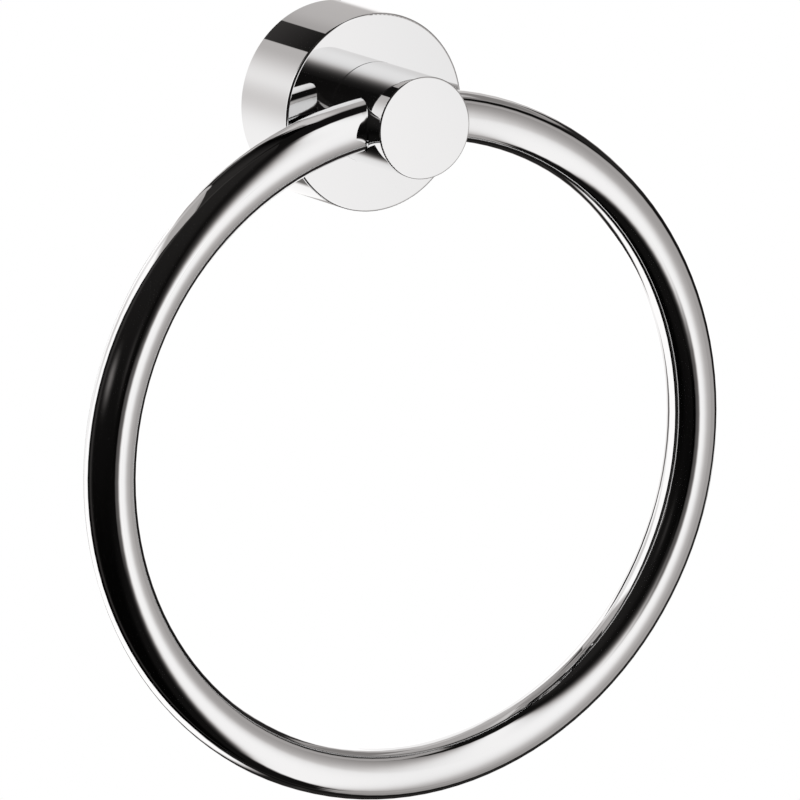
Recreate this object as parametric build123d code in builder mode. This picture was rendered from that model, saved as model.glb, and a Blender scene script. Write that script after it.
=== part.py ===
from build123d import *
import os
from math import asin, cos, degrees, sin, tan, radians

# Wall-mounted towel ring, in millimetres.
# A turned rosette slips over a bracket on the wall and is held by one grub screw from below.
# A round post is screwed to the rosette's face from inside, and a bent tube ring ends in two
# sockets in the post, where a dog-point screw from the post's back locks each end.
# The wall is the plane y = 0, the ring stands out from it along -Y, and +Z is up.
# The origin is the middle of the rosette's foot, on the wall.

# Rosette: a turned cup that hides the bracket
rosette_diameter = 50.0
rosette_depth = 23.5
rosette_wall = 3.5
rosette_face = 5.0
rosette_edge_radius = 0.6
rosette_foot_chamfer = 0.4

# Post: a plain turned bar on the middle of the rosette's face
post_diameter = 25.6
post_length = 25.0
post_edge_radius = 0.4
post_foot_chamfer = 0.2

# Ring: a tube bent to one round, with two short straight tails that go into the post
ring_outer_diameter = 180.0
ring_tube_diameter = 13.0
ring_tube_wall = 1.5
ring_rise = 0.9  # top of the ring's round above the post's axis, if it ran on through the post
socket_web = 9.0  # metal left between the two sockets, on their axes
socket_clearance = 0.1  # round the tube and at the end of each tail
socket_lip = 0.25  # chamfer round each socket's mouth

# Wall bracket: a die-cast cup with two slots for the wall screws
bracket_height = 12.0
bracket_base = 4.0
bracket_wall = 4.0
bracket_lead_in = 1.0
bracket_clearance = 0.25  # between the bracket and the inside of the rosette
wall_screw_spacing = 22.0
wall_slot_width = 5.0
wall_slot_length = 9.0

# Screw that holds the post, with its spring washer
post_screw_diameter = 6.0
post_screw_engagement = 8.0
post_screw_head_diameter = 10.0
post_screw_head_height = 6.0
post_screw_key = 5.0
post_screw_key_depth = 3.0
post_screw_runout = 1.6
washer_diameter = 11.8
washer_thickness = 1.6
washer_split = 1.0

# Pin that stops the post from turning
pin_diameter = 3.0
pin_depth = 4.0  # in each of the two pieces
pin_drop = 8.0  # below the post's axis
pin_chamfer = 0.3

# Dog-point screws that lock the ring's tails
lock_screw_diameter = 4.0
lock_screw_recess = 0.4
lock_point_diameter = 2.4
lock_point_length = 1.9

# Grub screw that holds the rosette on the bracket
grub_diameter = 4.0
grub_height = 7.0  # from the wall to its axis
grub_recess = 0.5
grub_cone_length = 1.6
grub_cone_angle = 40.0
set_screw_key = 2.0
set_screw_key_depth = 1.8

# Fits
screw_clearance = 0.05  # round a screw in its hole
screw_pass_clearance = 0.2  # round a screw where it passes through freely
pin_clearance = 0.02

# Places that follow from the sizes above
rosette_radius = rosette_diameter / 2
rosette_bore_radius = rosette_radius - rosette_wall
rosette_floor_depth = rosette_depth - rosette_face
bracket_radius = rosette_bore_radius - bracket_clearance
post_radius = post_diameter / 2
tube_radius = ring_tube_diameter / 2
ring_radius = ring_outer_diameter / 2 - tube_radius
ring_depth = rosette_depth + post_length / 2  # half way along the post
ring_centre_height = ring_rise - ring_radius
mouth_angle = asin(post_radius / ring_radius)
mouth_height = ring_centre_height + ring_radius * cos(mouth_angle)
socket_radius = tube_radius + socket_clearance
socket_depth = (post_radius - socket_web / 2) / cos(mouth_angle)
tail_length = socket_depth - socket_clearance
lock_inset = tail_length / 2
lock_reach = post_radius - lock_inset * cos(mouth_angle)
lock_places = [(side * lock_reach, mouth_height + lock_inset * sin(mouth_angle)) for side in (-1, 1)]
lock_tip_depth = ring_depth - socket_radius
washer_depth = rosette_floor_depth - washer_thickness
grub_radius = grub_diameter / 2
grub_tip_radius = grub_radius - grub_cone_length * tan(radians(grub_cone_angle))
grub_body_length = rosette_radius - grub_recess - bracket_radius - bracket_clearance

# Planes: "depth" is measured from the wall, towards the ring
wall = Plane.XZ
rosette_front = Plane.XZ.offset(rosette_depth)
ring_plane = Plane.XZ.offset(ring_depth)
grub_foot = Plane((0, -grub_height, -rosette_radius), x_dir=(1, 0, 0), z_dir=(0, 0, 1))
grub_shoulder = grub_foot.offset(grub_recess + grub_body_length)

os.makedirs("parts", exist_ok=True)

# Rosette: bored from the wall side, with holes for the post's screw, the pin and the grub screw
with BuildPart() as rosette:
    with BuildSketch(wall):
        Circle(rosette_radius)
    extrude(amount=rosette_depth)
    fillet(rosette.edges().sort_by(Axis.Y)[0], rosette_edge_radius)
    with BuildSketch(wall):
        Circle(rosette_bore_radius)
    extrude(amount=rosette_floor_depth, mode=Mode.SUBTRACT)
    foot_rims = rosette.edges().filter_by(GeomType.CIRCLE).group_by(Axis.Y)[-1]
    chamfer(foot_rims, rosette_foot_chamfer)
    with BuildSketch(rosette_front):
        Circle(post_screw_diameter / 2 + screw_pass_clearance)
    extrude(amount=-rosette_face, mode=Mode.SUBTRACT)
    with BuildSketch(rosette_front):
        with Locations((0, -pin_drop)):
            Circle(pin_diameter / 2 + pin_clearance)
    extrude(amount=-pin_depth, mode=Mode.SUBTRACT)
    with BuildSketch(grub_foot):
        Circle(grub_radius + screw_clearance)
    extrude(amount=2 * rosette_wall, mode=Mode.SUBTRACT)
rosette.part.label = "rosette"
export_step(rosette.part, "parts/rosette.step")

# Ring: the tube is carried along one tail, the round and the other tail, then drilled for the locks
with BuildPart() as ring:
    with BuildLine(ring_plane) as ring_path:
        bend = CenterArc(
            (0, ring_centre_height),
            ring_radius,
            start_angle=90 + degrees(mouth_angle),
            arc_size=360 - 2 * degrees(mouth_angle),
        )
        first_tail = Line(bend @ 0 - bend % 0 * tail_length, bend @ 0)
        last_tail = Line(bend @ 1, bend @ 1 + bend % 1 * tail_length)
    with BuildSketch(Plane(origin=first_tail @ 0, z_dir=first_tail % 0)):
        Circle(tube_radius)
        Circle(tube_radius - ring_tube_wall, mode=Mode.SUBTRACT)
    sweep(path=ring_path.wire())
    with BuildSketch(ring_plane):
        with Locations(*lock_places):
            Circle(lock_point_diameter / 2 + socket_clearance)
    extrude(amount=-ring_tube_diameter, mode=Mode.SUBTRACT)
ring.part.label = "ring"
export_step(ring.part, "parts/ring.step")

# Post: two sloping sockets meet the ring's tails, and the back is drilled for the screws and the pin
with BuildPart() as post:
    with BuildSketch(rosette_front):
        Circle(post_radius)
    extrude(amount=post_length)
    fillet(post.edges().sort_by(Axis.Y)[0], post_edge_radius)
    chamfer(post.edges().sort_by(Axis.Y)[-1], post_foot_chamfer)
    for tail_end, outward in ((first_tail @ 0, first_tail % 0), (last_tail @ 1, last_tail % 1 * -1)):
        with BuildSketch(Plane(origin=tail_end - outward * socket_clearance, z_dir=outward)):
            Circle(socket_radius)
        extrude(amount=socket_depth + ring_tube_diameter, mode=Mode.SUBTRACT)
        mouth = post.edges(Select.LAST).filter_by(GeomType.BSPLINE)
        chamfer(mouth, socket_lip)
    with BuildSketch(rosette_front):
        Circle(post_screw_diameter / 2 + screw_clearance)
    extrude(amount=post_screw_engagement + post_screw_runout, mode=Mode.SUBTRACT)
    with BuildSketch(rosette_front):
        with Locations((0, -pin_drop)):
            Circle(pin_diameter / 2 + pin_clearance)
    extrude(amount=pin_depth, mode=Mode.SUBTRACT)
    with BuildSketch(rosette_front):
        with Locations(*lock_places):
            Circle(lock_screw_diameter / 2 + screw_clearance)
    extrude(amount=ring_depth - rosette_depth, mode=Mode.SUBTRACT)
post.part.label = "post"
export_step(post.part, "parts/post.step")

# Lock screws: two set screws, each with a dog point in the tube's wall
lock_tail_plane = rosette_front.offset(lock_screw_recess)
with BuildPart() as ring_lock_screws:
    with BuildSketch(lock_tail_plane):
        with Locations(*lock_places):
            Circle(lock_screw_diameter / 2)
    extrude(amount=lock_tip_depth - rosette_depth - lock_screw_recess)
    with BuildSketch(Plane.XZ.offset(lock_tip_depth)):
        with Locations(*lock_places):
            Circle(lock_point_diameter / 2)
    extrude(amount=lock_point_length)
    with BuildSketch(lock_tail_plane):
        with Locations(*lock_places):
            RegularPolygon(set_screw_key / 2, side_count=6, major_radius=False)
    extrude(amount=set_screw_key_depth, mode=Mode.SUBTRACT)
ring_lock_screws.part.label = "ring_lock_screws"
export_step(ring_lock_screws.part, "parts/ring_lock_screws.step")

# Post screw: a socket cap screw, put in from inside the rosette
with BuildPart() as post_screw:
    with BuildSketch(Plane.XZ.offset(washer_depth)):
        Circle(post_screw_diameter / 2)
    extrude(amount=washer_thickness + rosette_face + post_screw_engagement)
    with BuildSketch(Plane.XZ.offset(washer_depth)):
        Circle(post_screw_head_diameter / 2)
    extrude(amount=-post_screw_head_height)
    with BuildSketch(Plane.XZ.offset(washer_depth - post_screw_head_height)):
        RegularPolygon(post_screw_key / 2, side_count=6, major_radius=False)
    extrude(amount=post_screw_key_depth, mode=Mode.SUBTRACT)
post_screw.part.label = "post_screw"
export_step(post_screw.part, "parts/post_screw.step")

# Spring washer under the post screw's head, split at one side and drawn pressed flat
with BuildPart() as post_screw_washer:
    with BuildSketch(Plane.XZ.offset(washer_depth)):
        Circle(washer_diameter / 2)
        Circle(post_screw_diameter / 2 + screw_clearance, mode=Mode.SUBTRACT)
        with Locations((washer_diameter / 2, 0)):
            Rectangle(washer_diameter, washer_split, mode=Mode.SUBTRACT)
    extrude(amount=washer_thickness)
post_screw_washer.part.label = "post_screw_washer"
export_step(post_screw_washer.part, "parts/post_screw_washer.step")

# Locating pin, half in the rosette and half in the post
with BuildPart() as post_locating_pin:
    with BuildSketch(rosette_front):
        with Locations((0, -pin_drop)):
            Circle(pin_diameter / 2)
    extrude(amount=pin_depth - pin_clearance, both=True)
    chamfer(post_locating_pin.edges().filter_by(GeomType.CIRCLE), pin_chamfer)
post_locating_pin.part.label = "post_locating_pin"
export_step(post_locating_pin.part, "parts/post_locating_pin.step")

# Wall bracket: a shallow cup with a lead-in, two level slots and a dimple for the grub screw's cone
with BuildPart() as wall_bracket:
    with BuildSketch(wall):
        Circle(bracket_radius)
    extrude(amount=bracket_height)
    chamfer(wall_bracket.edges().sort_by(Axis.Y)[0], bracket_lead_in)
    with BuildSketch(Plane.XZ.offset(bracket_base)):
        Circle(bracket_radius - bracket_wall)
    extrude(amount=bracket_height, mode=Mode.SUBTRACT)
    with BuildSketch(wall):
        with GridLocations(wall_screw_spacing, 0, 2, 1):
            SlotOverall(wall_slot_length, wall_slot_width)
    extrude(amount=bracket_base, mode=Mode.SUBTRACT)
    with Locations(grub_shoulder):
        Cone(
            grub_radius + screw_clearance,
            grub_tip_radius + screw_clearance,
            grub_cone_length + screw_clearance,
            align=(Align.CENTER, Align.CENTER, Align.MIN),
            mode=Mode.SUBTRACT,
        )
wall_bracket.part.label = "wall_bracket"
export_step(wall_bracket.part, "parts/wall_bracket.step")

# Grub screw: a cone point pulls the rosette onto the bracket and against the wall
with BuildPart() as rosette_grub_screw:
    with BuildSketch(grub_foot.offset(grub_recess)):
        Circle(grub_radius)
    extrude(amount=grub_body_length)
    with Locations(grub_shoulder):
        Cone(
            grub_radius,
            grub_tip_radius,
            grub_cone_length,
            align=(Align.CENTER, Align.CENTER, Align.MIN),
        )
    with BuildSketch(grub_foot.offset(grub_recess)):
        RegularPolygon(set_screw_key / 2, side_count=6, major_radius=False)
    extrude(amount=set_screw_key_depth, mode=Mode.SUBTRACT)
rosette_grub_screw.part.label = "rosette_grub_screw"
export_step(rosette_grub_screw.part, "parts/rosette_grub_screw.step")
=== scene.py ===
import bpy
import numpy as np
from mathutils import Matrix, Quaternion, Vector


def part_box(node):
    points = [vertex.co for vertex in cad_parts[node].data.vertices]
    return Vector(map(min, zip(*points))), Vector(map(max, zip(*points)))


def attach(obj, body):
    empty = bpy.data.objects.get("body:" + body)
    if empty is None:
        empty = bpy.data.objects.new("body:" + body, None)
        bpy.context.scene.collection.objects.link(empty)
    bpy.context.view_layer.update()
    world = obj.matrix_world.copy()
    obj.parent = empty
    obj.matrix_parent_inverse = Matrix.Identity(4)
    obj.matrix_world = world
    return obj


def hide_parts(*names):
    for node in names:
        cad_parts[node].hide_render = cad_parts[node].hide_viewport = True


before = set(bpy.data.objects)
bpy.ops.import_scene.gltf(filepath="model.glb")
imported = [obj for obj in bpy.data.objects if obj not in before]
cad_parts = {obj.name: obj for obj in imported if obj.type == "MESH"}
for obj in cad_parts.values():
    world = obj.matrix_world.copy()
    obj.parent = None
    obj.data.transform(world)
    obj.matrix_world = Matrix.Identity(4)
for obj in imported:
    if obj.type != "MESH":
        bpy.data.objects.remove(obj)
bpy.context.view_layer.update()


# Ring
# One length of 13 mm brass tube, bent to a round with two short straight tails. It is ground, buffed
# on soft wheels and plated with nickel and bright chrome, and its tails go into the post.

MM = 0.001


def linear(hex_colour):
    """Turns an sRGB hex colour into linear red, green, blue and alpha."""
    srgb = np.array([int(hex_colour[i:i + 2], 16) for i in (1, 3, 5)]) / 255
    low = srgb / 12.92
    high = ((srgb + 0.055) / 1.055) ** 2.4
    return (*np.where(srgb <= 0.04045, low, high), 1.0)


def new_material(name):
    """An empty node material."""
    material = bpy.data.materials.new(name)
    material.use_nodes = True
    material.node_tree.nodes.clear()
    return material


def add_node(material, kind, settings=None, links=None):
    """Adds one shader node, sets its properties or input values by name, and links its inputs."""
    node = material.node_tree.nodes.new(kind)
    for name, value in (settings or {}).items():
        if isinstance(name, int) or name in node.inputs:
            node.inputs[name].default_value = value
        else:
            setattr(node, name, value)
    for name, socket in (links or {}).items():
        material.node_tree.links.new(socket, node.inputs[name])
    return node


def dress(node_name, material):
    """Gives a CAD node's object its finished material."""
    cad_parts[node_name].material_slots[0].material = material


# Bright chrome is a near perfect mirror. The plating is a little thicker in some places than in others,
# which turns its grey a shade cooler in clouds, the buffing leaves parts a touch hazier than others,
# and the nickel under the chrome keeps a faint ripple that makes reflected edges swim.
CHROME_PALE = linear("#EAEAEA")
CHROME_COOL = linear("#E6E7E8")
CHROME_CLOUD = 35 * MM
CHROME_HAZE = 11 * MM
CHROME_RIPPLE = 5 * MM
CHROME_RIPPLE_HEIGHT = 0.0015 * MM
CHROME_CLEAREST = 0.010  # roughness where the buffing is best
CHROME_HAZIEST = 0.030
NOISE_LOW = 0.3  # nearly all of a noise pattern lies between these two
NOISE_HIGH = 0.7


def chrome_plate(name):
    """Bright chrome, and its nodes for a piece that is plated differently in places."""
    chrome = new_material(name)
    place = add_node(chrome, "ShaderNodeTexCoord").outputs["Object"]
    cloud = add_node(
        chrome, "ShaderNodeTexNoise", {"Scale": 1 / CHROME_CLOUD, "Detail": 3.0}, {"Vector": place}
    )
    colour = add_node(
        chrome,
        "ShaderNodeMixRGB",
        {"Color1": CHROME_PALE, "Color2": CHROME_COOL},
        {"Fac": cloud.outputs["Fac"]},
    )
    haze = add_node(
        chrome, "ShaderNodeTexNoise", {"Scale": 1 / CHROME_HAZE, "Detail": 4.0}, {"Vector": place}
    )
    roughness = add_node(
        chrome,
        "ShaderNodeMapRange",
        {
            "From Min": NOISE_LOW,
            "From Max": NOISE_HIGH,
            "To Min": CHROME_CLEAREST,
            "To Max": CHROME_HAZIEST,
        },
        {"Value": haze.outputs["Fac"]},
    )
    ripple = add_node(
        chrome, "ShaderNodeTexNoise", {"Scale": 1 / CHROME_RIPPLE, "Detail": 1.0}, {"Vector": place}
    )
    bump = add_node(
        chrome,
        "ShaderNodeBump",
        {"Strength": 1.0, "Distance": CHROME_RIPPLE_HEIGHT},
        {"Height": ripple.outputs["Fac"]},
    )
    shader = add_node(
        chrome,
        "ShaderNodeBsdfPrincipled",
        {"Metallic": 1.0},
        {
            "Base Color": colour.outputs["Color"],
            "Roughness": roughness.outputs["Result"],
            "Normal": bump.outputs["Normal"],
        },
    )
    add_node(chrome, "ShaderNodeOutputMaterial", links={"Surface": shader.outputs["BSDF"]})
    nodes = {
        "place": place,
        "colour": colour,
        "roughness": roughness,
        "bump": bump,
        "shader": shader,
    }
    return chrome, nodes


bright_chrome, _ = chrome_plate("bright_chrome_on_brass")
dress("ring", bright_chrome)


# Post
# A short bar of brass, turned, drilled for the ring's tails, polished and plated with the ring.
# Its flat end shows the most of the plating, and it sits on the middle of the rosette's face.

dress("post", bright_chrome)


# Ring lock screws
# Two M4 dog-point set screws of stainless steel, driven into the post's back with a 2 mm key.
# Their points stand in holes in the tube's wall and hold the ring's tails in the post.

TURN_STEPS = 144
ROWS_PER_PITCH = 10
TURN = np.linspace(0, 2 * np.pi, TURN_STEPS, endpoint=False)
SHARP_EDGE = np.radians(30)
THREAD_DEPTH = 0.6  # of the pitch
THREAD_SLOPE = 1.3  # above 1, so that crest and root have a small flat
THREAD_FLAT = 0.15
KEY_CONE_DEPTH = 0.15  # of the key's width, for the drill's cone at the bottom of a key socket
KEY_CONE_TIP = 0.4  # of the socket's reach
COUNTERSINK_DEPTH = 0.5  # of the screw's chamfer
COUNTERSINK_REACH = 0.3  # of the screw's chamfer, past the socket's corners


def hexagon(key):
    """Reach of a hexagon with a corner at angle 0: half the key's width, over the cosine of the angle
    from the middle of the nearest flat."""
    return key / 2 / np.cos(TURN % (np.pi / 3) - np.pi / 6)


def stations(*places):
    """Rows of a turned outline, each given as a distance along the axis and a reach from it."""
    along = np.array([np.broadcast_to(distance, TURN.shape) for distance, _ in places])
    reach = np.array([np.broadcast_to(width, TURN.shape) for _, width in places])
    return along, reach


def thread(start, end, radius, pitch):
    """Rows of a threaded stretch. The groove is 0 on the crest and 1 at the root, rises and falls evenly
    once a pitch with a small flat at both, and moves on by one pitch for each turn round the axis.
    It fades out over one pitch at both ends. The reach is the radius less the groove's depth."""
    depth = THREAD_DEPTH * pitch
    distance = np.linspace(start, end, round(ROWS_PER_PITCH * (end - start) / pitch) + 1)[:, None]
    phase = (distance / pitch - TURN / (2 * np.pi)) % 1
    groove = np.clip(THREAD_SLOPE * (1 - np.abs(2 * phase - 1)) - THREAD_FLAT, 0, 1)
    fade = np.clip(np.minimum(distance - start, end - distance) / pitch, 0, 1)
    return np.broadcast_to(distance, groove.shape), radius - depth * fade * groove


def key_socket(key, depth, rim, chamfer):
    """Rows of a hexagon socket in an end face: its floor, its walls, a small countersink and the face."""
    corner = key / np.sqrt(3)
    return stations(
        (depth + KEY_CONE_DEPTH * key, KEY_CONE_TIP * hexagon(key)),
        (depth, hexagon(key)),
        (COUNTERSINK_DEPTH * chamfer, hexagon(key)),
        (0.0, corner + COUNTERSINK_REACH * chamfer),
        (0.0, rim - chamfer),
        (chamfer, rim),
    )


def turned_body(foot, way, side, stretches):
    """A closed body round an axis, as points and faces.
    A point is the foot, plus its distance along the way, plus its reach times the spoke at its angle.
    The rows go from the middle of one end over the outside to the middle of the other, so the faces
    point outwards, and a fan of triangles closes each end."""
    way = np.array(way, dtype=float)
    side = np.array(side, dtype=float)
    along = np.concatenate([stretch[0] for stretch in stretches])
    reach = np.concatenate([stretch[1] for stretch in stretches])
    spoke = np.cos(TURN)[:, None] * side + np.sin(TURN)[:, None] * np.cross(way, side)
    grid = np.array(foot) + along[..., None] * way + reach[..., None] * spoke
    poles = np.array(foot) + np.outer((along[0].mean(), along[-1].mean()), way)
    points = np.concatenate([grid.reshape(-1, 3), poles])
    here = np.arange(along.size).reshape(along.shape)
    beside = np.roll(here, -1, axis=1)
    quads = np.stack([here[:-1], beside[:-1], beside[1:], here[1:]], axis=-1).reshape(-1, 4)
    first_fan = np.stack([np.full(TURN_STEPS, along.size), beside[0], here[0]], axis=-1)
    last_fan = np.stack([here[-1], beside[-1], np.full(TURN_STEPS, along.size + 1)], axis=-1)
    return points, quads, np.concatenate([first_fan, last_fan])


def screw_piece(name, bodies, node_name):
    """One piece from turned bodies, which stands for the CAD node of the same screws."""
    points = np.concatenate([body[0] for body in bodies])
    starts = np.cumsum([0] + [len(body[0]) for body in bodies])
    faces = []
    for start, (_, quads, fans) in zip(starts, bodies):
        faces += (quads + start).tolist() + (fans + start).tolist()
    mesh = bpy.data.meshes.new(name)
    mesh.from_pydata(points.tolist(), [], faces)
    mesh.shade_smooth()
    mesh.set_sharp_from_angle(angle=SHARP_EDGE)
    mesh.materials.append(stainless_steel)
    piece = bpy.data.objects.new(name, mesh)
    bpy.context.scene.collection.objects.link(piece)
    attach(piece, "root")
    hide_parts(node_name)


# Stainless steel fasteners are cold formed, tumbled and passivated: a satin grey, a little warm,
# with fine nicks. The nicks are drawn about three times as wide as the real ones so that they show.
STEEL_PALE = linear("#BDBBB7")
STEEL_DARK = linear("#A3A19D")
STEEL_NICK = 0.3 * MM
STEEL_NICK_DEPTH = 0.004 * MM
STEEL_CLOUD = 2.5 * MM
STEEL_SMOOTHEST = 0.22  # roughness between the nicks
STEEL_ROUGHEST = 0.36

stainless_steel = new_material("stainless_steel_tumbled")
steel_place = add_node(stainless_steel, "ShaderNodeTexCoord").outputs["Object"]
steel_cloud = add_node(
    stainless_steel,
    "ShaderNodeTexNoise",
    {"Scale": 1 / STEEL_CLOUD, "Detail": 4.0},
    {"Vector": steel_place},
)
steel_colour = add_node(
    stainless_steel,
    "ShaderNodeMixRGB",
    {"Color1": STEEL_PALE, "Color2": STEEL_DARK},
    {"Fac": steel_cloud.outputs["Fac"]},
)
steel_nicks = add_node(
    stainless_steel,
    "ShaderNodeTexNoise",
    {"Scale": 1 / STEEL_NICK, "Detail": 2.0},
    {"Vector": steel_place},
)
steel_roughness = add_node(
    stainless_steel,
    "ShaderNodeMapRange",
    {"From Min": NOISE_LOW, "From Max": NOISE_HIGH, "To Min": STEEL_SMOOTHEST, "To Max": STEEL_ROUGHEST},
    {"Value": steel_nicks.outputs["Fac"]},
)
steel_bump = add_node(
    stainless_steel,
    "ShaderNodeBump",
    {"Strength": 1.0, "Distance": STEEL_NICK_DEPTH},
    {"Height": steel_nicks.outputs["Fac"]},
)
steel_shader = add_node(
    stainless_steel,
    "ShaderNodeBsdfPrincipled",
    {"Metallic": 1.0},
    {
        "Base Color": steel_colour.outputs["Color"],
        "Roughness": steel_roughness.outputs["Result"],
        "Normal": steel_bump.outputs["Normal"],
    },
)
add_node(stainless_steel, "ShaderNodeOutputMaterial", links={"Surface": steel_shader.outputs["BSDF"]})

SET_SCREW_RADIUS = 2.0 * MM
SET_SCREW_PITCH = 0.7 * MM
SET_SCREW_KEY = 2.0 * MM
SET_SCREW_KEY_DEPTH = 1.8 * MM
SCREW_CHAMFER = 0.3 * MM
DOG_RADIUS = 1.2 * MM
DOG_LENGTH = 1.9 * MM

lock_low, lock_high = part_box("ring_lock_screws")
lock_reach = lock_high.x - SET_SCREW_RADIUS
lock_height = (lock_low.z + lock_high.z) / 2
lock_shoulder = lock_high.y - lock_low.y - DOG_LENGTH
lock_rows = (
    key_socket(SET_SCREW_KEY, SET_SCREW_KEY_DEPTH, SET_SCREW_RADIUS, SCREW_CHAMFER),
    thread(SCREW_CHAMFER, lock_shoulder - SCREW_CHAMFER, SET_SCREW_RADIUS, SET_SCREW_PITCH),
    stations(
        (lock_shoulder, SET_SCREW_RADIUS - SCREW_CHAMFER),
        (lock_shoulder, DOG_RADIUS),
        (lock_shoulder + DOG_LENGTH - SCREW_CHAMFER, DOG_RADIUS),
        (lock_shoulder + DOG_LENGTH, DOG_RADIUS - SCREW_CHAMFER),
    ),
)
lock_bodies = [
    turned_body((x, lock_high.y, lock_height), (0, -1, 0), (1, 0, 0), lock_rows)
    for x in (-lock_reach, lock_reach)
]
screw_piece("ring_lock_screws_threaded", lock_bodies, "ring_lock_screws")


# Rosette and locating pin
# A cup turned from brass bar, polished and plated, which slips over the wall bracket. A plain steel
# pin between its face and the post's back stops the post from turning.

# Chrome hardly reaches into a deep bore: inside, the plate is thin and dull over the lathe's marks,
# and a little of the brass shows through. The marks are drawn at three times their real spacing.
BORE_REACH = 21.7 * MM
BORE_FLOOR = -18.8 * MM
BORE_COLOUR = linear("#D8CFBC")
BORE_ROUGHNESS = 0.32
LATHE_MARK = 0.45 * MM
LATHE_MARK_DEPTH = 0.006 * MM
WAVE_TURNS = 20 / (2 * np.pi)  # bands that the wave texture draws for each unit at scale 1

rosette_chrome, plate = chrome_plate("bright_chrome_thin_inside")
place_parts = add_node(rosette_chrome, "ShaderNodeSeparateXYZ", links={"Vector": plate["place"]})
square_to_axis = add_node(
    rosette_chrome,
    "ShaderNodeCombineXYZ",
    links={"X": place_parts.outputs["X"], "Z": place_parts.outputs["Z"]},
)
axis_distance = add_node(
    rosette_chrome,
    "ShaderNodeVectorMath",
    {"operation": "LENGTH"},
    {"Vector": square_to_axis.outputs["Vector"]},
)
within_bore = add_node(
    rosette_chrome,
    "ShaderNodeMath",
    {"operation": "LESS_THAN", 1: BORE_REACH},
    {0: axis_distance.outputs["Value"]},
)
behind_face = add_node(
    rosette_chrome,
    "ShaderNodeMath",
    {"operation": "GREATER_THAN", 1: BORE_FLOOR},
    {0: place_parts.outputs["Y"]},
)
inside = add_node(
    rosette_chrome,
    "ShaderNodeMath",
    {"operation": "MULTIPLY"},
    {0: within_bore.outputs["Value"], 1: behind_face.outputs["Value"]},
)
bore_colour = add_node(
    rosette_chrome,
    "ShaderNodeMixRGB",
    {"Color2": BORE_COLOUR},
    {"Fac": inside.outputs["Value"], "Color1": plate["colour"].outputs["Color"]},
)
bore_roughness = add_node(
    rosette_chrome,
    "ShaderNodeMath",
    {"operation": "MULTIPLY_ADD", 1: BORE_ROUGHNESS},
    {0: inside.outputs["Value"], 2: plate["roughness"].outputs["Result"]},
)
lathe_marks = add_node(
    rosette_chrome,
    "ShaderNodeTexWave",
    {"bands_direction": "Y", "Scale": 1 / LATHE_MARK / WAVE_TURNS, "Distortion": 0.4, "Detail": 1.0},
    {"Vector": plate["place"]},
)
lathe_bump = add_node(
    rosette_chrome,
    "ShaderNodeBump",
    {"Distance": LATHE_MARK_DEPTH},
    {
        "Strength": inside.outputs["Value"],
        "Height": lathe_marks.outputs["Fac"],
        "Normal": plate["bump"].outputs["Normal"],
    },
)
for socket_name, socket in (
    ("Base Color", bore_colour.outputs["Color"]),
    ("Roughness", bore_roughness.outputs["Value"]),
    ("Normal", lathe_bump.outputs["Normal"]),
):
    rosette_chrome.node_tree.links.new(socket, plate["shader"].inputs[socket_name])

dress("rosette", rosette_chrome)
dress("post_locating_pin", stainless_steel)


# Post screw and spring washer
# An M6 socket cap screw of stainless steel with a knurled head, put in from inside the rosette. It
# pulls the post against the rosette's face, and the split washer under its head keeps it tight.

POST_SCREW_RADIUS = 3.0 * MM
POST_SCREW_PITCH = 1.0 * MM
POST_SCREW_HEAD_HEIGHT = 6.0 * MM
POST_SCREW_KEY = 5.0 * MM
POST_SCREW_KEY_DEPTH = 3.0 * MM
POST_SCREW_PLAIN = 4.0 * MM  # bare shank under the head
KNURL_COUNT = 36
KNURL_DEPTH = 0.18 * MM
KNURL_RIM = 3 * SCREW_CHAMFER  # plain edge of the head above the knurl

cap_low, cap_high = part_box("post_screw")
head_radius = cap_high.x
cap_length = cap_high.y - cap_low.y
cap_thread_start = POST_SCREW_HEAD_HEIGHT + POST_SCREW_PLAIN
knurl = head_radius - KNURL_DEPTH * (0.5 - 0.5 * np.cos(KNURL_COUNT * TURN))
cap_rows = (
    key_socket(POST_SCREW_KEY, POST_SCREW_KEY_DEPTH, head_radius - SCREW_CHAMFER, SCREW_CHAMFER),
    stations(
        (KNURL_RIM, head_radius - SCREW_CHAMFER),
        (KNURL_RIM + SCREW_CHAMFER, knurl),
        (POST_SCREW_HEAD_HEIGHT - SCREW_CHAMFER, knurl),
        (POST_SCREW_HEAD_HEIGHT, head_radius - SCREW_CHAMFER),
        (POST_SCREW_HEAD_HEIGHT, POST_SCREW_RADIUS),
    ),
    thread(cap_thread_start, cap_length - SCREW_CHAMFER, POST_SCREW_RADIUS, POST_SCREW_PITCH),
    stations((cap_length, POST_SCREW_RADIUS - 2 * SCREW_CHAMFER)),
)
cap_body = turned_body((0, cap_high.y, 0), (0, -1, 0), (1, 0, 0), cap_rows)
screw_piece("post_screw_threaded", [cap_body], "post_screw")
dress("post_screw_washer", stainless_steel)


# Wall bracket
# A shallow cup of die-cast zinc, tumbled after casting and left bare, held to the wall by two screws
# through its slots. The rosette hides it, so it shows only from behind.

# Die-cast zinc is a dull blue grey: the metal's flow leaves paler and darker swirls, and the tumbling
# stones a fine even grain, drawn here about twice as coarse as the real one.
ZINC_PALE = linear("#BFC1C4")
ZINC_DARK = linear("#A0A3A7")
ZINC_FLOW = 9 * MM
ZINC_GRAIN = 0.4 * MM
ZINC_GRAIN_DEPTH = 0.02 * MM
ZINC_SMOOTHEST = 0.40  # roughness
ZINC_ROUGHEST = 0.56
SWIRL_LOW = 0.2  # the part of the flow pattern that goes from pale to dark
SWIRL_HIGH = 0.8

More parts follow.
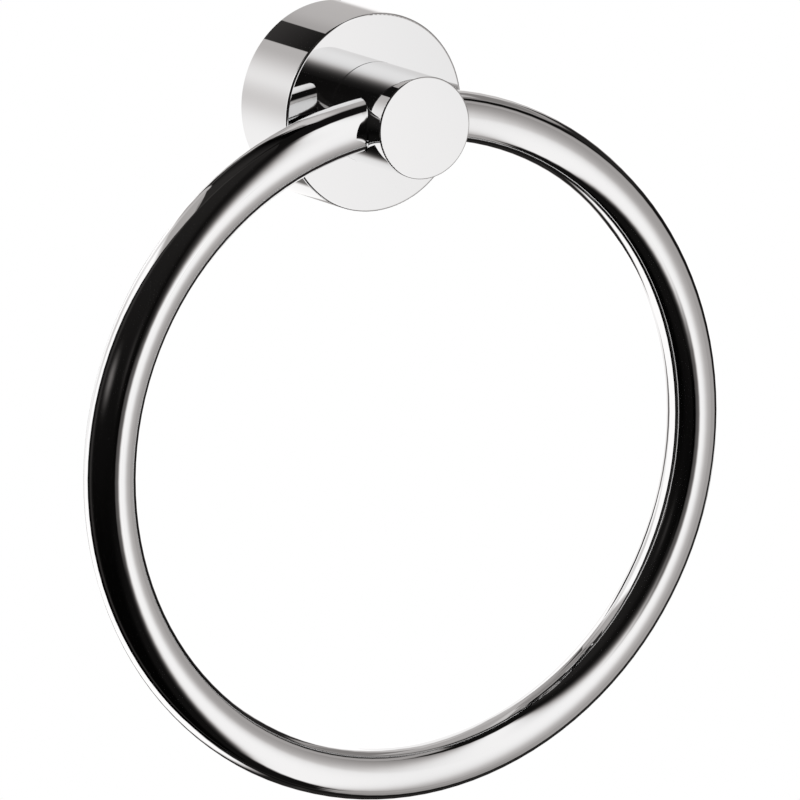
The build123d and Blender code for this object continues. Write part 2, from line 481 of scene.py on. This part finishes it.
die_cast_zinc = new_material("die_cast_zinc_tumbled")
zinc_place = add_node(die_cast_zinc, "ShaderNodeTexCoord").outputs["Object"]
zinc_flow = add_node(
    die_cast_zinc,
    "ShaderNodeTexNoise",
    {"Scale": 1 / ZINC_FLOW, "Detail": 5.0, "Distortion": 0.7},
    {"Vector": zinc_place},
)
zinc_swirl = add_node(
    die_cast_zinc,
    "ShaderNodeMapRange",
    {"From Min": SWIRL_LOW, "From Max": SWIRL_HIGH},
    {"Value": zinc_flow.outputs["Fac"]},
)
zinc_colour = add_node(
    die_cast_zinc,
    "ShaderNodeMixRGB",
    {"Color1": ZINC_PALE, "Color2": ZINC_DARK},
    {"Fac": zinc_swirl.outputs["Result"]},
)
zinc_grain = add_node(
    die_cast_zinc, "ShaderNodeTexNoise", {"Scale": 1 / ZINC_GRAIN, "Detail": 3.0}, {"Vector": zinc_place}
)
zinc_roughness = add_node(
    die_cast_zinc,
    "ShaderNodeMapRange",
    {"From Min": NOISE_LOW, "From Max": NOISE_HIGH, "To Min": ZINC_SMOOTHEST, "To Max": ZINC_ROUGHEST},
    {"Value": zinc_grain.outputs["Fac"]},
)
zinc_bump = add_node(
    die_cast_zinc,
    "ShaderNodeBump",
    {"Strength": 1.0, "Distance": ZINC_GRAIN_DEPTH},
    {"Height": zinc_grain.outputs["Fac"]},
)
zinc_shader = add_node(
    die_cast_zinc,
    "ShaderNodeBsdfPrincipled",
    {"Metallic": 1.0},
    {
        "Base Color": zinc_colour.outputs["Color"],
        "Roughness": zinc_roughness.outputs["Result"],
        "Normal": zinc_bump.outputs["Normal"],
    },
)
add_node(die_cast_zinc, "ShaderNodeOutputMaterial", links={"Surface": zinc_shader.outputs["BSDF"]})
dress("wall_bracket", die_cast_zinc)


# Rosette grub screw
# An M4 cone-point grub screw of stainless steel, driven up through the rosette's underside with the
# 2 mm key. Its cone bears in the bracket and pulls the rosette against the wall.

GRUB_CONE = 1.6 * MM
GRUB_CONE_SLOPE = np.tan(np.radians(40))

grub_low, grub_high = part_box("rosette_grub_screw")
grub_axis = (grub_low.y + grub_high.y) / 2
grub_shoulder = grub_high.z - grub_low.z - GRUB_CONE
grub_rows = (
    key_socket(SET_SCREW_KEY, SET_SCREW_KEY_DEPTH, SET_SCREW_RADIUS, SCREW_CHAMFER),
    thread(SCREW_CHAMFER, grub_shoulder, SET_SCREW_RADIUS, SET_SCREW_PITCH),
    stations((grub_shoulder + GRUB_CONE, SET_SCREW_RADIUS - GRUB_CONE * GRUB_CONE_SLOPE)),
)
grub_body = turned_body((0, grub_axis, grub_low.z), (0, 0, 1), (1, 0, 0), grub_rows)
screw_piece("rosette_grub_screw_threaded", [grub_body], "rosette_grub_screw")


# Tent
# A white cotton tent, of the kind that polished metal is photographed in, with dark, bright and grey
# cloth pinned along its inside. Only reflections see it and the cloths that hang in it, so they cast
# no shadow and hide nothing.

# Levels of cloth in this light, as shares of white
BRIGHT = 1.12  # lit silk
WHITE = 1.2  # the cloth behind the object, a little over white
GREY = 0.40  # unlit white cloth
VELVET = 0.006

# Dim cloth throws back a warmer light than bright cloth
DIM_TINT = np.array((1.075, 1.0, 0.970))
BRIGHT_TINT = np.array((1.014, 1.0, 0.995))


def way_to(bearing, rise):
    """A step of length 1. The bearing turns from straight out of the wall towards the right, and the rise
    lifts from level, both in degrees: the sine and the minus cosine of the bearing, each times the cosine
    of the rise, and then the sine of the rise."""
    turn = np.radians(bearing)
    lift = np.radians(rise)
    return np.stack([np.sin(turn) * np.cos(lift), -np.cos(turn) * np.cos(lift), np.sin(lift)], axis=-1)


def step_up(value, middle, width):
    """A smooth step from 0 to 1 across a width: three times the share's square less twice its cube."""
    share = np.clip((value - middle) / width + 0.5, 0, 1)
    return share * share * (3 - 2 * share)


def step_down(value, middle, width):
    """A smooth step from 1 to 0 across a width."""
    return step_up(-value, -middle, width)


def span(value, low, high, edge):
    """1 between two values and 0 outside them, with soft edges."""
    return step_up(value, low, edge) * step_down(value, high, edge)


def fade_in(value, middle, width):
    """A rise from 0 to 1 with long ends: one over one plus e to the minus distance, counted in widths."""
    return 1 / (1 + np.exp(-(value - middle) / width))


def laid_over(below, level, share):
    """Level of a cloth with another one laid over it, where a share of 1 hides what is below."""
    return below + (level - below) * share


def grid_mesh(name, points):
    """A mesh of quads over a grid of points, shape (rows, columns, 3)."""
    rows, columns = points.shape[:2]
    index = np.arange(rows * columns).reshape(rows, columns)
    corners = [index[:-1, :-1], index[:-1, 1:], index[1:, 1:], index[1:, :-1]]
    quads = np.stack(corners, axis=-1).reshape(-1, 4)
    mesh = bpy.data.meshes.new(name)
    mesh.from_pydata(points.reshape(-1, 3).tolist(), [], quads.tolist())
    return mesh


def stage_piece(name, mesh, material):
    """Puts a piece of the studio into the scene with its material."""
    piece = bpy.data.objects.new(name, mesh)
    bpy.context.scene.collection.objects.link(piece)
    mesh.materials.append(material)
    return piece


def cloth(name, points, level, cover=1.0):
    """A cloth that only reflections see, with its own level and cover at each point. Its tint runs from
    the dim one at level 0 to the bright one at level 1, and where the cover is 0 the cloth is cut away."""
    mesh = grid_mesh(name, points)
    colour = np.empty((*points.shape[:2], 4), dtype=np.float32)
    light_here = np.broadcast_to(level, points.shape[:2])[..., None]
    colour[..., :3] = light_here * (DIM_TINT + (BRIGHT_TINT - DIM_TINT) * np.clip(light_here, 0, 1))
    colour[..., 3] = cover
    light = mesh.attributes.new("light", "FLOAT_COLOR", "POINT")
    light.data.foreach_set("color", colour.ravel())
    piece = stage_piece(name, mesh, studio_cloth)
    piece.visible_camera = False
    piece.visible_diffuse = False
    piece.visible_shadow = False
    piece.visible_transmission = False


# Cloth in a studio reads as a plain patch of light, without weave or gloss: cotton, silk and velvet differ
# only in how much light they give at each point.
studio_cloth = new_material("lit_and_black_cloth")
cloth_light = add_node(studio_cloth, "ShaderNodeAttribute", {"attribute_name": "light"})
cloth_glow = add_node(studio_cloth, "ShaderNodeEmission", links={"Color": cloth_light.outputs["Color"]})
cloth_gap = add_node(studio_cloth, "ShaderNodeBsdfTransparent")
cloth_mix = add_node(
    studio_cloth,
    "ShaderNodeMixShader",
    links={
        "Fac": cloth_light.outputs["Alpha"],
        1: cloth_gap.outputs["BSDF"],
        2: cloth_glow.outputs["Emission"],
    },
)
add_node(studio_cloth, "ShaderNodeOutputMaterial", links={"Surface": cloth_mix.outputs["Shader"]})

TENT_RADIUS = 2.3
TENT_BEARINGS = np.linspace(-16, 344, 361)
TENT_RISES = np.linspace(-90, 90, 181)

# Cloth from the photographer's side round to the back, each with the middle and the width of the edge
# where it begins, in degrees of bearing
TENT_DIM = 0.10
TENT_DIM_EDGE = (-8.5, 9)
TENT_BRIGHT_EDGE = (7.9, 1.7)
TENT_GREY_EDGE = (40, 30)
TENT_WHITE_EDGE = (104, 6)

# A black band at the right, which leans from low down and further back to high up beside the object
BAND_RISES = (-44, -20, 4, 20, 32)
BAND_MIDDLES = (118, 112, 106, 99.5, 89.5)
BAND_HALF_WIDTHS = (13, 13, 13, 14.5, 8.5)
BAND_EDGE = 6
BAND_LOW_END = -56
BAND_HIGH_END = 58
BAND_END_EDGE = 16
BAND_BLACKNESS = 0.99

# Patches of other cloth, each with its bearings, rises, soft edge and level. A range that runs past the
# tent's own end has no edge there.
TENT_PATCHES = (
    ((101, 145), (28, 70), 8, 0.24),
    ((92, 130), (12, 28), 8, 0.02),
    ((150, 262), (34, 66), 12, 0.40),
    ((80, 114), (-78, -48), 10, 0.33),
    ((110, 170), (-82, -46), 10, 0.02),
    ((-40, 66), (54, 95), 8, VELVET),
    ((-40, 380), (66, 95), 5, VELVET),
    ((-40, 380), (-95, -77), 4, VELVET),
    ((300, 380), (-95, -68), 4, VELVET),
    ((-40, 62), (-95, -72), 6, VELVET),
)

ring_low, ring_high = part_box("ring")
ring_middle = np.array((ring_low + ring_high) / 2)
bearing, rise = np.meshgrid(TENT_BEARINGS, TENT_RISES)
tent_points = ring_middle + way_to(bearing, rise) * TENT_RADIUS
tent = TENT_DIM * step_up(bearing, *TENT_DIM_EDGE)
tent = laid_over(tent, BRIGHT, fade_in(bearing, *TENT_BRIGHT_EDGE))
tent = laid_over(tent, GREY, step_up(bearing, *TENT_GREY_EDGE))
tent = laid_over(tent, WHITE, step_up(bearing, *TENT_WHITE_EDGE))
band_half = np.interp(rise, BAND_RISES, BAND_HALF_WIDTHS)
off_band_middle = bearing - np.interp(rise, BAND_RISES, BAND_MIDDLES)
band = span(off_band_middle, -band_half, band_half, BAND_EDGE)
band *= span(rise, BAND_LOW_END, BAND_HIGH_END, BAND_END_EDGE)
tent *= 1 - BAND_BLACKNESS * band
for patch_bearings, patch_rises, patch_edge, patch_level in TENT_PATCHES:
    patch = span(bearing, *patch_bearings, patch_edge) * span(rise, *patch_rises, patch_edge)
    tent = laid_over(tent, patch_level, patch)
cloth("tent", tent_points, tent)


# Left curtain
# Black velvet hung flat beside the ring, from just behind it to a metre in front, with a slanting rear
# edge. Its painted light is a little stronger higher up, and it has a painted highlight along a fold, two
# faint spots of light and a faint painted sheen low down.

CURTAIN_REAR = np.array((-0.1495, 0.077))
CURTAIN_FRONT = np.array((-0.225, -0.974))
CURTAIN_HALF_HEIGHT = 2.2
CURTAIN_COLUMNS = 261
CURTAIN_ROWS = 241

# The rear edge slants back for each metre down, and forward for each metre up from a start
SLANT_BACK = 0.15
SLANT_BACK_LENGTH = 0.35
SLANT_FORWARD = 0.25
SLANT_FORWARD_START = 0.08
SLANT_FORWARD_LENGTH = 0.12

# Levels, and the middle and width of each change: by rise in degrees, or by metres out from the ring or up.
# The sheen has two ends and their soft edge.
CURTAIN_DARK = 0.001
CURTAIN_PALE = 0.018
CURTAIN_PALE_RISE = (30, 120)
CURTAIN_PALE_LOSS = 0.5
CURTAIN_PALE_LOSS_OUT = (0.28, 0.24)
# A painted highlight: a faint line of light along a fold in the velvet
CURTAIN_FOLD_HIGHLIGHT = 0.03
CURTAIN_FOLD_HIGHLIGHT_OUT = (-0.039, 0.010)
CURTAIN_SPOTS = (
    (0.16, (0.007, 0.016), (0.048, 0.012)),
    (0.02, (0.165, 0.040), (0.065, 0.030)),
)
CURTAIN_SHEEN = 0.005
CURTAIN_SHEEN_OUT = (0.12, 0.60, 0.10)
CURTAIN_SHEEN_UP = (-0.10, 0.30)


def bump_of(value, middle, width):
    """A smooth bump of height 1: e to the minus square of the distance from its middle, in widths."""
    return np.exp(-((value - middle) / width) ** 2)


# Columns stand closer together at the rear, and rows at the ring's height, where the light changes most
along, up = np.meshgrid(np.linspace(0, 1, CURTAIN_COLUMNS) ** 2, np.linspace(-1, 1, CURTAIN_ROWS))
curtain_height = CURTAIN_HALF_HEIGHT * up * np.abs(up)
plan = CURTAIN_REAR + (CURTAIN_FRONT - CURTAIN_REAR) * along[..., None]
rear_slant = SLANT_BACK * np.clip(-curtain_height, 0, SLANT_BACK_LENGTH)
rear_slant -= SLANT_FORWARD * np.clip(curtain_height - SLANT_FORWARD_START, 0, SLANT_FORWARD_LENGTH)
plan[..., 1] += rear_slant * (1 - along)
curtain_points = ring_middle + np.concatenate([plan, curtain_height[..., None]], axis=-1)
curtain_out = -plan[..., 1]
curtain_rise = np.degrees(np.arctan2(curtain_height, np.hypot(plan[..., 0], curtain_out)))
# Painted light: a little stronger higher up and weaker far out, with a painted highlight along the fold,
# spots of light and a painted sheen low down
pale_share = 1 - CURTAIN_PALE_LOSS * step_up(curtain_out, *CURTAIN_PALE_LOSS_OUT)
curtain = CURTAIN_DARK + CURTAIN_PALE * step_up(curtain_rise, *CURTAIN_PALE_RISE) * pale_share
curtain += CURTAIN_FOLD_HIGHLIGHT * bump_of(curtain_out, *CURTAIN_FOLD_HIGHLIGHT_OUT)
for spot_level, spot_out, spot_up in CURTAIN_SPOTS:
    curtain += spot_level * bump_of(curtain_out, *spot_out) * bump_of(curtain_height, *spot_up)
sheen_share = span(curtain_out, *CURTAIN_SHEEN_OUT) * step_down(curtain_height, *CURTAIN_SHEEN_UP)
curtain += CURTAIN_SHEEN * sheen_share
cloth("left_curtain", curtain_points, curtain)


# Silk panel
# White silk stretched on a frame and lit from behind, parallel to the wall and well in front of the ring.
# Its light is strongest left of the middle and fades out to the right, less so low down. The left edge is
# soft and has a window cut into it, and the light ends before the panel's foot.

SILK_DISTANCE = 0.65
SILK_ACROSS = np.linspace(-0.24, 1.68, 321)
SILK_HEIGHTS = np.linspace(-2.2, 2.0, 211)

# Fall of the light to the right, from its peak to a floor
SILK_PEAK = 1.09
SILK_PEAK_END = 0.2
SILK_FALL_POWER = 3
SILK_SPREAD = 0.36
SILK_SPREAD_LOSS = 0.09
SILK_SPREAD_LOSS_UP = (0.02, 0.2)
SILK_FLOOR_HEIGHTS = (-0.2, 0.25, 1.4)
SILK_FLOOR_LEVELS = (0.44, 0.39, 0.28)

# Left edge: its place low down, two steps to the right higher up, and a width that grows half way up
SILK_EDGE = 0.004
SILK_EDGE_STEPS = ((0.046, (-0.30, 0.5)), (0.06, (1.2, 0.6)))
SILK_EDGE_WIDTH = 0.030
SILK_EDGE_GROWTH = 0.012
SILK_EDGE_GROWTH_UP = (0.35, 0.35)

# Upper end of the light, and its lower end as a rise at each bearing
SILK_TOP = (1.65, 0.3)
SILK_LOW_BEARINGS = (-4, 4, 12, 20, 30)
SILK_LOW_RISES = (-68, -69, -71.2, -72.8, -74)
SILK_LOW_EDGE = 8

# Window: its lower and upper end with their soft edge, and its right side with its own
WINDOW_UP = (-0.24, 0.04, 0.10)
WINDOW_RIGHT = (0.20, 0.06)

across, height = np.meshgrid(SILK_ACROSS, SILK_HEIGHTS)
silk_points = ring_middle + np.stack([across, np.full_like(across, -SILK_DISTANCE), height], axis=-1)
silk_spread = SILK_SPREAD - SILK_SPREAD_LOSS * step_up(height, *SILK_SPREAD_LOSS_UP)
silk_fall = (np.maximum(across - SILK_PEAK_END, 0) / silk_spread) ** SILK_FALL_POWER
silk_floor = np.interp(height, SILK_FLOOR_HEIGHTS, SILK_FLOOR_LEVELS)
silk = laid_over(silk_floor, SILK_PEAK, 1 / (1 + silk_fall))
edge_middle = SILK_EDGE + sum(shift * step_up(height, *shift_up) for shift, shift_up in SILK_EDGE_STEPS)
edge_width = SILK_EDGE_WIDTH + SILK_EDGE_GROWTH * bump_of(height, *SILK_EDGE_GROWTH_UP)
silk *= fade_in(across, edge_middle, edge_width)
silk *= step_down(height, *SILK_TOP)
silk_bearing = np.degrees(np.arctan2(across, SILK_DISTANCE))
silk_rise = np.degrees(np.arctan2(height, np.hypot(across, SILK_DISTANCE)))
silk *= step_up(silk_rise, np.interp(silk_bearing, SILK_LOW_BEARINGS, SILK_LOW_RISES), SILK_LOW_EDGE)
window = span(height, *WINDOW_UP) * step_down(across, *WINDOW_RIGHT)
cloth("silk_panel", silk_points, VELVET + silk, 1 - window)


# Backdrop
# White cloth stretched behind the object, with black and grey arms that run out from behind the rosette,
# other cloth pinned on further out, and a collar sewn on round the rosette, with painted light and shade.
# Angles are seen from the front and run from the right upwards, and reach is measured from the rosette's
# axis.

BACKDROP_DEPTH = 0.20
BACKDROP_ANGLES = np.linspace(0, 360, 1081)
COLLAR_INNER = 0.10
COLLAR_OUTER = 0.18
COLLAR_SEAM = 0.002
COLLAR_DARK = 0.158  # the collar's black band is at its darkest from here out
RIM_START = 1.0
RIM_LEVEL = 0.02
BACKDROP_REACHES = (
    0.02, COLLAR_INNER, COLLAR_INNER + COLLAR_SEAM,
    COLLAR_DARK, COLLAR_OUTER, COLLAR_OUTER + COLLAR_SEAM,
    0.22, 0.26, 0.30, 0.33, 0.36, 0.42, 0.5, 0.72, 0.88, 1.6,
)

# Arms, each with its first and last angle, its soft edge, how far it opens further out, and its level
BACKDROP_ARMS = (
    (8, 44, 8, 0, 0.60),
    (44, 142, 8, 0, 0.45),
    (78, 90.5, 6, 0, 0.65),
    (90.5, 118, 1, 4.5, 0.015),
    (262, 286, 8, -6, 0.015),
)
ARM_OPENING = (0.33, 0.34)

# Cloth further out, each with its angles and soft edge, the reach where it begins, and its level
OUTER_CLOTHS = (
    ((86, 122.5, 2), (0.35, 0.04), 0.32),
    ((276, 334, 6), (0.33, 0.05), 0.02),
    ((190, 300, 20), (0.8, 0.16), 0.004),
)

# At the right the cloth is cut away further out, between two angles and from a reach
CUT_FIRST = (330, 4)
CUT_LAST = (44, 4)
CUT_START = (0.33, 0.05)

# The collar's painted light is white, with painted shade along its top and in two places, a black band at
# its top left and a grey foot
COLLAR_LIGHT = 1.05
COLLAR_TOP_LOSS = 0.53
COLLAR_TOP_FIRST = (20, 16)
COLLAR_TOP_LAST = (144, 40)
COLLAR_SHADES = ((0.10, (90, 14)), (0.33, (181, 20)))
COLLAR_BAND = (89.8, 117.8, 1.0)
COLLAR_BAND_LIGHT = 0.1
COLLAR_FOOT = (260, 277, 9)
COLLAR_FOOT_LEVEL = 0.16

angle, reach = np.meshgrid(BACKDROP_ANGLES, BACKDROP_REACHES)
around = np.radians(angle)
backdrop_points = np.stack(
    [reach * np.cos(around), np.full_like(reach, BACKDROP_DEPTH), reach * np.sin(around)], axis=-1
)
backdrop = np.full_like(angle, WHITE)
for arm_first, arm_last, arm_edge, arm_spread, arm_level in BACKDROP_ARMS:
    opening = arm_spread * step_up(reach, *ARM_OPENING)
    arm = span(angle, arm_first - opening, arm_last + opening, arm_edge)
    backdrop = laid_over(backdrop, arm_level, arm)
for outer_angles, outer_start, outer_level in OUTER_CLOTHS:
    backdrop = laid_over(backdrop, outer_level, span(angle, *outer_angles) * step_up(reach, *outer_start))
backdrop = np.where(reach > RIM_START, RIM_LEVEL, backdrop)
# The collar's painted light and shade
collar_top = step_up(angle, *COLLAR_TOP_FIRST) * step_down(angle, *COLLAR_TOP_LAST)
collar = COLLAR_LIGHT - COLLAR_TOP_LOSS * collar_top
for shade_loss, shade_place in COLLAR_SHADES:
    collar -= shade_loss * bump_of(angle, *shade_place)
collar = laid_over(collar, VELVET + COLLAR_BAND_LIGHT * (reach < COLLAR_DARK), span(angle, *COLLAR_BAND))
collar = laid_over(collar, COLLAR_FOOT_LEVEL, span(angle, *COLLAR_FOOT))
past_inner_seam = reach > COLLAR_INNER + COLLAR_SEAM / 2
before_outer_seam = reach < COLLAR_OUTER + COLLAR_SEAM / 2
backdrop = np.where(past_inner_seam & before_outer_seam, collar, backdrop)
cut_away = (step_up(angle, *CUT_FIRST) + step_down(angle, *CUT_LAST)) * step_up(reach, *CUT_START)
cloth("backdrop", backdrop_points, backdrop, 1 - cut_away)


# Back card
# A small card of grey board, held close behind the rosette. Its painted light is stronger towards its
# lower end, and its lower left part is cut away.

BACK_CARD_DEPTH = 0.05
BACK_CARD_ACROSS = np.linspace(-0.020, 0.034, 55)
BACK_CARD_HEIGHTS = np.linspace(-0.075, 0.028, 104)
BACK_CARD_LIGHT_HEIGHTS = (-0.06, 0.0)
BACK_CARD_LEVELS = (0.42, 0.30)
BACK_CARD_CUT_ACROSS = (0.018, 0.004)
BACK_CARD_CUT_UP = (-0.036, 0.006)

card_x, card_height = np.meshgrid(BACK_CARD_ACROSS, BACK_CARD_HEIGHTS)
card_points = np.stack([card_x, np.full_like(card_x, BACK_CARD_DEPTH), card_height], axis=-1)
# Painted light, stronger towards the card's lower end
card = np.interp(card_height, BACK_CARD_LIGHT_HEIGHTS, BACK_CARD_LEVELS)
card_corner = step_down(card_x, *BACK_CARD_CUT_ACROSS) * step_down(card_height, *BACK_CARD_CUT_UP)
cloth("back_card", card_points, card, 1 - card_corner)


# Upper card
# A board covered with black velvet, close behind the wall plane and up and left of the rosette. Its sides
# slant, and a little more light falls on its left side.

UPPER_CARD_DEPTH = 0.03
UPPER_CARD_COLUMNS = 41
UPPER_CARD_HEIGHTS = np.linspace(0.042, 0.45, 103)
UPPER_LEFT_HEIGHTS = (0.042, 0.45)
UPPER_LEFT_SIDE = (-0.069, -0.335)
UPPER_RIGHT_HEIGHTS = (0.042, 0.056, 0.085, 0.45)
UPPER_RIGHT_SIDE = (-0.055, -0.030, -0.030, 0.04)
UPPER_LIGHT_ACROSS = (-0.08, -0.055, -0.035)
UPPER_LEVELS = (0.026, 0.015, 0.001)

share, upper_height = np.meshgrid(np.linspace(0, 1, UPPER_CARD_COLUMNS), UPPER_CARD_HEIGHTS)
upper_left = np.interp(upper_height, UPPER_LEFT_HEIGHTS, UPPER_LEFT_SIDE)
upper_right = np.interp(upper_height, UPPER_RIGHT_HEIGHTS, UPPER_RIGHT_SIDE)
upper_x = upper_left + (upper_right - upper_left) * share
upper_points = np.stack([upper_x, np.full_like(upper_x, UPPER_CARD_DEPTH), upper_height], axis=-1)
cloth("upper_card", upper_points, np.interp(upper_x, UPPER_LIGHT_ACROSS, UPPER_LEVELS))


# Floor
# Smooth boards under matt white paint, well below the object, which hangs as if on a wall. The paint reads
# white to the camera and in the metal, with a little real shade left in it.

FLOOR_REACH = 6.0
FLOOR_LEVEL = -2.45
FLOOR_COLOUR = linear("#F7F7F7")
FLOOR_WHITE_SHARE = 0.85
PURE_WHITE = (1, 1, 1, 1)

floor_paint = new_material("white_floor_paint")
floor_matt = add_node(floor_paint, "ShaderNodeBsdfDiffuse", {"Color": FLOOR_COLOUR})
floor_white = add_node(floor_paint, "ShaderNodeEmission", {"Color": PURE_WHITE, "Strength": 1.0})
floor_rays = add_node(floor_paint, "ShaderNodeLightPath")
seen_by_mirror = add_node(
    floor_paint,
    "ShaderNodeMath",
    {"operation": "MAXIMUM"},
    {0: floor_rays.outputs["Is Glossy Ray"], 1: floor_rays.outputs["Is Transmission Ray"]},
)
seen_at_all = add_node(
    floor_paint,
    "ShaderNodeMath",
    {"operation": "MAXIMUM"},
    {0: floor_rays.outputs["Is Camera Ray"], 1: seen_by_mirror.outputs["Value"]},
)
white_share = add_node(
    floor_paint,
    "ShaderNodeMath",
    {"operation": "MULTIPLY", 1: FLOOR_WHITE_SHARE},
    {0: seen_at_all.outputs["Value"]},
)
floor_mix = add_node(
    floor_paint,
    "ShaderNodeMixShader",
    links={
        "Fac": white_share.outputs["Value"],
        1: floor_matt.outputs["BSDF"],
        2: floor_white.outputs["Emission"],
    },
)
add_node(floor_paint, "ShaderNodeOutputMaterial", links={"Surface": floor_mix.outputs["Shader"]})
floor_line = np.linspace(-FLOOR_REACH, FLOOR_REACH, 3)
floor_x, floor_y = np.meshgrid(floor_line, floor_line)
floor_points = np.stack([floor_x, floor_y, np.full_like(floor_x, FLOOR_LEVEL)], axis=-1)
stage_piece("floor", grid_mesh("floor", floor_points), floor_paint)


# Daylight and camera
# Even white light comes through the tent from all sides. The camera has a long lens, stands to the left
# of the object and a little above it, and is tilted by a degree.

world = bpy.data.worlds.new("white_tent")
world.use_nodes = True
world.node_tree.nodes["Background"].inputs["Color"].default_value = PURE_WHITE
world.node_tree.nodes["Background"].inputs["Strength"].default_value = 1.0
bpy.context.scene.world = world
bpy.context.scene.view_settings.view_transform = "Standard"

CAMERA_BEARING = -29.619
CAMERA_RISE = 12.627
CAMERA_ROLL = np.radians(-1.127)
CAMERA_DISTANCE = 2.2349
CAMERA_AIM = Vector((-0.006565, -0.045, -0.068302))
CAMERA_LENS = 406.34
CAMERA_CLIP_END = 50

camera_back = Vector(way_to(CAMERA_BEARING, CAMERA_RISE))
camera_turn = (-camera_back).to_track_quat("-Z", "Y") @ Quaternion((0, 0, 1), CAMERA_ROLL)
camera_data = bpy.data.cameras.new("camera")
camera_data.lens = CAMERA_LENS
camera_data.clip_end = CAMERA_CLIP_END
camera = bpy.data.objects.new("camera", camera_data)
camera.location = CAMERA_AIM + camera_back * CAMERA_DISTANCE
camera.rotation_euler = camera_turn.to_euler()
bpy.context.scene.collection.objects.link(camera)
bpy.context.scene.camera = camera
